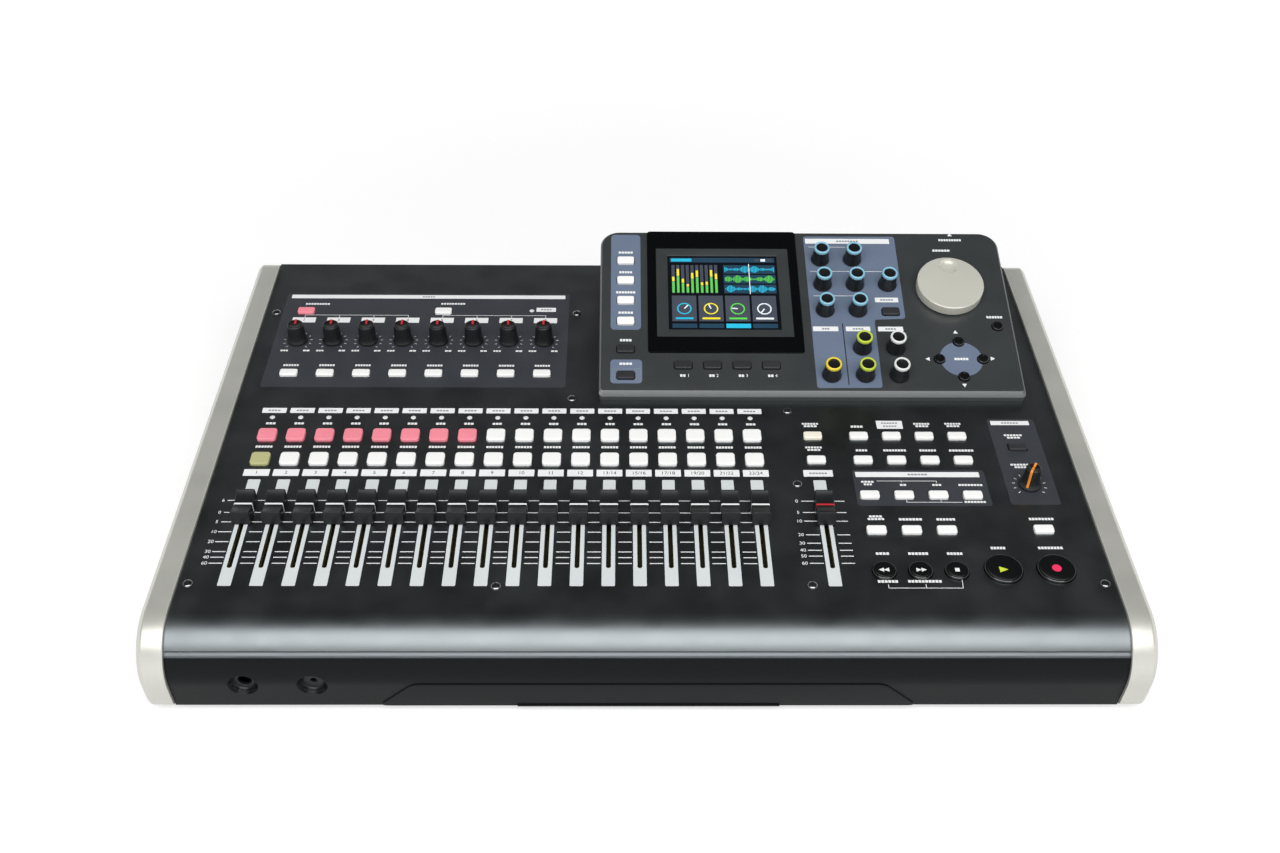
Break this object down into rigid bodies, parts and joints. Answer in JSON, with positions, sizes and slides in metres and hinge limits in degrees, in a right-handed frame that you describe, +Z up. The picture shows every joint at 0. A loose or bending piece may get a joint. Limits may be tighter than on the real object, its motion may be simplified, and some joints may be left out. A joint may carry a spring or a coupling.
{
  "type": "digital multitrack recorder",
  "caption": "Desktop multitrack recorder: sloped panel of faders, keys and trim knobs between silver end cheeks, with a tilted display housing, encoders and jog wheel.",
  "frame": {"origin": "centre of the bounding box at the bottom of the feet", "axes": "+X to the user's right along the width, +Y from the user to the rear, +Z up"},
  "size_m": [0.514, 0.34, 0.1112],
  "materials": {
    "panel_black": "satin black paint",
    "chassis_black": "satin black paint on sheet steel",
    "fascia_black": "satin moulded plastic",
    "cheek_silver": "satin warm silver paint",
    "housing_grey": "fine satin moulded plastic",
    "bezel_gloss": "polished black",
    "display_glass": "colour display behind a clear window",
    "board_green": "solder-masked board",
    "socket_black": "moulded black",
    "foot_rubber": "matt",
    "fader_black": "satin",
    "knob_black": "satin",
    "jog_silver": "satin champagne silver",
    "key_white": "translucent white",
    "key_dark": "satin",
    "transport_gloss": "polished black"
  },
  "bodies": {
    "case": {"top_panel": "panel_black", "bottom_chassis": "chassis_black", "front_fascia": "fascia_black", "left_end_cheek": "cheek_silver", "right_end_cheek": "cheek_silver", "display_housing": "housing_grey", "display_bezel": "bezel_gloss", "lcd_panel": "display_glass", "circuit_boards": "board_green", "jack_sockets": "socket_black", "feet": "foot_rubber"},
    "channel_fader_01": {"channel_fader_01": "fader_black"},
    "channel_fader_02": {"channel_fader_02": "fader_black"},
    "channel_fader_03": {"channel_fader_03": "fader_black"},
    "channel_fader_04": {"channel_fader_04": "fader_black"},
    "channel_fader_05": {"channel_fader_05": "fader_black"},
    "channel_fader_06": {"channel_fader_06": "fader_black"},
    "channel_fader_07": {"channel_fader_07": "fader_black"},
    "channel_fader_08": {"channel_fader_08": "fader_black"},
    "channel_fader_09": {"channel_fader_09": "fader_black"},
    "channel_fader_10": {"channel_fader_10": "fader_black"},
    "channel_fader_11": {"channel_fader_11": "fader_black"},
    "channel_fader_12": {"channel_fader_12": "fader_black"},
    "channel_fader_13": {"channel_fader_13": "fader_black"},
    "channel_fader_14": {"channel_fader_14": "fader_black"},
    "channel_fader_15": {"channel_fader_15": "fader_black"},
    "channel_fader_16": {"channel_fader_16": "fader_black"},
    "channel_fader_17": {"channel_fader_17": "fader_black"},
    "channel_fader_18": {"channel_fader_18": "fader_black"},
    "stereo_fader": {"stereo_fader": "fader_black"},
    "trim_knob_1": {"trim_knob_1": "knob_black"},
    "trim_knob_2": {"trim_knob_2": "knob_black"},
    "trim_knob_3": {"trim_knob_3": "knob_black"},
    "trim_knob_4": {"trim_knob_4": "knob_black"},
    "trim_knob_5": {"trim_knob_5": "knob_black"},
    "trim_knob_6": {"trim_knob_6": "knob_black"},
    "trim_knob_7": {"trim_knob_7": "knob_black"},
    "trim_knob_8": {"trim_knob_8": "knob_black"},
    "monitor_knob": {"monitor_knob": "knob_black"},
    "eq_encoder_1": {"eq_encoder_1": "knob_black"},
    "eq_encoder_2": {"eq_encoder_2": "knob_black"},
    "eq_encoder_3": {"eq_encoder_3": "knob_black"},
    "eq_encoder_4": {"eq_encoder_4": "knob_black"},
    "eq_encoder_5": {"eq_encoder_5": "knob_black"},
    "eq_encoder_6": {"eq_encoder_6": "knob_black"},
    "eq_encoder_7": {"eq_encoder_7": "knob_black"},
    "pan_encoder": {"pan_encoder": "knob_black"},
    "send_encoder_1": {"send_encoder_1": "knob_black"},
    "send_encoder_2": {"send_encoder_2": "knob_black"},
    "master_encoder_1": {"master_encoder_1": "knob_black"},
    "master_encoder_2": {"master_encoder_2": "knob_black"},
    "jog_wheel": {"jog_wheel": "jog_silver"},
    "panel_keys": {"panel_keys": "key_white"},
    "console_keys": {"console_keys": "key_dark"},
    "rewind_key": {"rewind_key": "transport_gloss"},
    "forward_key": {"forward_key": "transport_gloss"},
    "stop_key": {"stop_key": "transport_gloss"},
    "play_key": {"play_key": "transport_gloss"},
    "record_key": {"record_key": "transport_gloss"},
    "standby_button": {"standby_button": "key_dark"}
  },
  "joints": [
    {"name": "channel_fader_01_slide", "type": "slide", "parent": "case", "child": "channel_fader_01", "axis": [0, 0.9986, 0.0523], "range_m": [-0.038, 0.009]},
    {"name": "channel_fader_02_slide", "type": "slide", "parent": "case", "child": "channel_fader_02", "axis": [0, 0.9986, 0.0523], "range_m": [-0.038, 0.009]},
    {"name": "channel_fader_03_slide", "type": "slide", "parent": "case", "child": "channel_fader_03", "axis": [0, 0.9986, 0.0523], "range_m": [-0.038, 0.009]},
    {"name": "channel_fader_04_slide", "type": "slide", "parent": "case", "child": "channel_fader_04", "axis": [0, 0.9986, 0.0523], "range_m": [-0.038, 0.009]},
    {"name": "channel_fader_05_slide", "type": "slide", "parent": "case", "child": "channel_fader_05", "axis": [0, 0.9986, 0.0523], "range_m": [-0.038, 0.009]},
    {"name": "channel_fader_06_slide", "type": "slide", "parent": "case", "child": "channel_fader_06", "axis": [0, 0.9986, 0.0523], "range_m": [-0.038, 0.009]},
    {"name": "channel_fader_07_slide", "type": "slide", "parent": "case", "child": "channel_fader_07", "axis": [0, 0.9986, 0.0523], "range_m": [-0.038, 0.009]},
    {"name": "channel_fader_08_slide", "type": "slide", "parent": "case", "child": "channel_fader_08", "axis": [0, 0.9986, 0.0523], "range_m": [-0.038, 0.009]},
    {"name": "channel_fader_09_slide", "type": "slide", "parent": "case", "child": "channel_fader_09", "axis": [0, 0.9986, 0.0523], "range_m": [-0.038, 0.009]},
    {"name": "channel_fader_10_slide", "type": "slide", "parent": "case", "child": "channel_fader_10", "axis": [0, 0.9986, 0.0523], "range_m": [-0.038, 0.009]},
    {"name": "channel_fader_11_slide", "type": "slide", "parent": "case", "child": "channel_fader_11", "axis": [0, 0.9986, 0.0523], "range_m": [-0.038, 0.009]},
    {"name": "channel_fader_12_slide", "type": "slide", "parent": "case", "child": "channel_fader_12", "axis": [0, 0.9986, 0.0523], "range_m": [-0.038, 0.009]},
    {"name": "channel_fader_13_slide", "type": "slide", "parent": "case", "child": "channel_fader_13", "axis": [0, 0.9986, 0.0523], "range_m": [-0.038, 0.009]},
    {"name": "channel_fader_14_slide", "type": "slide", "parent": "case", "child": "channel_fader_14", "axis": [0, 0.9986, 0.0523], "range_m": [-0.038, 0.009]},
    {"name": "channel_fader_15_slide", "type": "slide", "parent": "case", "child": "channel_fader_15", "axis": [0, 0.9986, 0.0523], "range_m": [-0.038, 0.009]},
    {"name": "channel_fader_16_slide", "type": "slide", "parent": "case", "child": "channel_fader_16", "axis": [0, 0.9986, 0.0523], "range_m": [-0.038, 0.009]},
    {"name": "channel_fader_17_slide", "type": "slide", "parent": "case", "child": "channel_fader_17", "axis": [0, 0.9986, 0.0523], "range_m": [-0.038, 0.009]},
    {"name": "channel_fader_18_slide", "type": "slide", "parent": "case", "child": "channel_fader_18", "axis": [0, 0.9986, 0.0523], "range_m": [-0.038, 0.009]},
    {"name": "stereo_fader_slide", "type": "slide", "parent": "case", "child": "stereo_fader", "axis": [0, 0.9986, 0.0523], "range_m": [-0.038, 0.009]},
    {"name": "trim_knob_1_turn", "type": "hinge", "parent": "case", "child": "trim_knob_1", "pos_m": [-0.217, 0.07972, 0.06283], "axis": [0, -0.0523, 0.9986], "range_deg": [-150, 150]},
    {"name": "trim_knob_2_turn", "type": "hinge", "parent": "case", "child": "trim_knob_2", "pos_m": [-0.195, 0.07972, 0.06283], "axis": [0, -0.0523, 0.9986], "range_deg": [-150, 150]},
    {"name": "trim_knob_3_turn", "type": "hinge", "parent": "case", "child": "trim_knob_3", "pos_m": [-0.173, 0.07972, 0.06283], "axis": [0, -0.0523, 0.9986], "range_deg": [-150, 150]},
    {"name": "trim_knob_4_turn", "type": "hinge", "parent": "case", "child": "trim_knob_4", "pos_m": [-0.151, 0.07972, 0.06283], "axis": [0, -0.0523, 0.9986], "range_deg": [-150, 150]},
    {"name": "trim_knob_5_turn", "type": "hinge", "parent": "case", "child": "trim_knob_5", "pos_m": [-0.129, 0.07972, 0.06283], "axis": [0, -0.0523, 0.9986], "range_deg": [-150, 150]},
    {"name": "trim_knob_6_turn", "type": "hinge", "parent": "case", "child": "trim_knob_6", "pos_m": [-0.107, 0.07972, 0.06283], "axis": [0, -0.0523, 0.9986], "range_deg": [-150, 150]},
    {"name": "trim_knob_7_turn", "type": "hinge", "parent": "case", "child": "trim_knob_7", "pos_m": [-0.085, 0.07972, 0.06283], "axis": [0, -0.0523, 0.9986], "range_deg": [-150, 150]},
    {"name": "trim_knob_8_turn", "type": "hinge", "parent": "case", "child": "trim_knob_8", "pos_m": [-0.063, 0.07972, 0.06283], "axis": [0, -0.0523, 0.9986], "range_deg": [-150, 150]},
    {"name": "monitor_knob_turn", "type": "hinge", "parent": "case", "child": "monitor_knob", "pos_m": [0.2143, -0.05071, 0.056], "axis": [0, -0.0523, 0.9986], "range_deg": [-300, 0]},
    {"name": "eq_encoder_1_turn", "type": "hinge", "parent": "case", "child": "eq_encoder_1", "pos_m": [0.112, 0.12158, 0.09767], "axis": [0, -0.309, 0.9511], "continuous": true},
    {"name": "eq_encoder_2_turn", "type": "hinge", "parent": "case", "child": "eq_encoder_2", "pos_m": [0.1324, 0.12158, 0.09767], "axis": [0, -0.309, 0.9511], "continuous": true},
    {"name": "eq_encoder_3_turn", "type": "hinge", "parent": "case", "child": "eq_encoder_3", "pos_m": [0.112, 0.10199, 0.0913], "axis": [0, -0.309, 0.9511], "continuous": true},
    {"name": "eq_encoder_4_turn", "type": "hinge", "parent": "case", "child": "eq_encoder_4", "pos_m": [0.1324, 0.10199, 0.0913], "axis": [0, -0.309, 0.9511], "continuous": true},
    {"name": "eq_encoder_5_turn", "type": "hinge", "parent": "case", "child": "eq_encoder_5", "pos_m": [0.1528, 0.10199, 0.0913], "axis": [0, -0.309, 0.9511], "continuous": true},
    {"name": "eq_encoder_6_turn", "type": "hinge", "parent": "case", "child": "eq_encoder_6", "pos_m": [0.112, 0.0824, 0.08494], "axis": [0, -0.309, 0.9511], "continuous": true},
    {"name": "eq_encoder_7_turn", "type": "hinge", "parent": "case", "child": "eq_encoder_7", "pos_m": [0.1324, 0.0824, 0.08494], "axis": [0, -0.309, 0.9511], "continuous": true},
    {"name": "pan_encoder_turn", "type": "hinge", "parent": "case", "child": "pan_encoder", "pos_m": [0.112, 0.03494, 0.06952], "axis": [0, -0.309, 0.9511], "continuous": true},
    {"name": "send_encoder_1_turn", "type": "hinge", "parent": "case", "child": "send_encoder_1", "pos_m": [0.1324, 0.05434, 0.07582], "axis": [0, -0.309, 0.9511], "continuous": true},
    {"name": "send_encoder_2_turn", "type": "hinge", "parent": "case", "child": "send_encoder_2", "pos_m": [0.1324, 0.03494, 0.06952], "axis": [0, -0.309, 0.9511], "continuous": true},
    {"name": "master_encoder_1_turn", "type": "hinge", "parent": "case", "child": "master_encoder_1", "pos_m": [0.1528, 0.05434, 0.07582], "axis": [0, -0.309, 0.9511], "continuous": true},
    {"name": "master_encoder_2_turn", "type": "hinge", "parent": "case", "child": "master_encoder_2", "pos_m": [0.1528, 0.03494, 0.06952], "axis": [0, -0.309, 0.9511], "continuous": true},
    {"name": "jog_wheel_turn", "type": "hinge", "parent": "case", "child": "jog_wheel", "pos_m": [0.191, 0.09809, 0.09004], "axis": [0, -0.309, 0.9511], "continuous": true},
    {"name": "panel_keys_press", "type": "slide", "parent": "case", "child": "panel_keys", "axis": [0, -0.0523, 0.9986], "range_m": [-0.001, 0], "stiffness_N_per_m": 2000, "springref_m": 0.001},
    {"name": "console_keys_press", "type": "slide", "parent": "case", "child": "console_keys", "axis": [0, -0.309, 0.9511], "range_m": [-0.001, 0], "stiffness_N_per_m": 1000, "springref_m": 0.001},
    {"name": "rewind_key_press", "type": "slide", "parent": "case", "child": "rewind_key", "axis": [0, -0.0523, 0.9986], "range_m": [-0.001, 0], "stiffness_N_per_m": 800, "springref_m": 0.001},
    {"name": "forward_key_press", "type": "slide", "parent": "case", "child": "forward_key", "axis": [0, -0.0523, 0.9986], "range_m": [-0.001, 0], "stiffness_N_per_m": 800, "springref_m": 0.001},
    {"name": "stop_key_press", "type": "slide", "parent": "case", "child": "stop_key", "axis": [0, -0.0523, 0.9986], "range_m": [-0.001, 0], "stiffness_N_per_m": 800, "springref_m": 0.001},
    {"name": "play_key_press", "type": "slide", "parent": "case", "child": "play_key", "axis": [0, -0.0523, 0.9986], "range_m": [-0.001, 0], "stiffness_N_per_m": 800, "springref_m": 0.001},
    {"name": "record_key_press", "type": "slide", "parent": "case", "child": "record_key", "axis": [0, -0.0523, 0.9986], "range_m": [-0.001, 0], "stiffness_N_per_m": 800, "springref_m": 0.001},
    {"name": "standby_button_press", "type": "slide", "parent": "case", "child": "standby_button", "axis": [0, 1, 0], "range_m": [-0.002, 0], "stiffness_N_per_m": 800, "springref_m": 0.001}
  ]
}
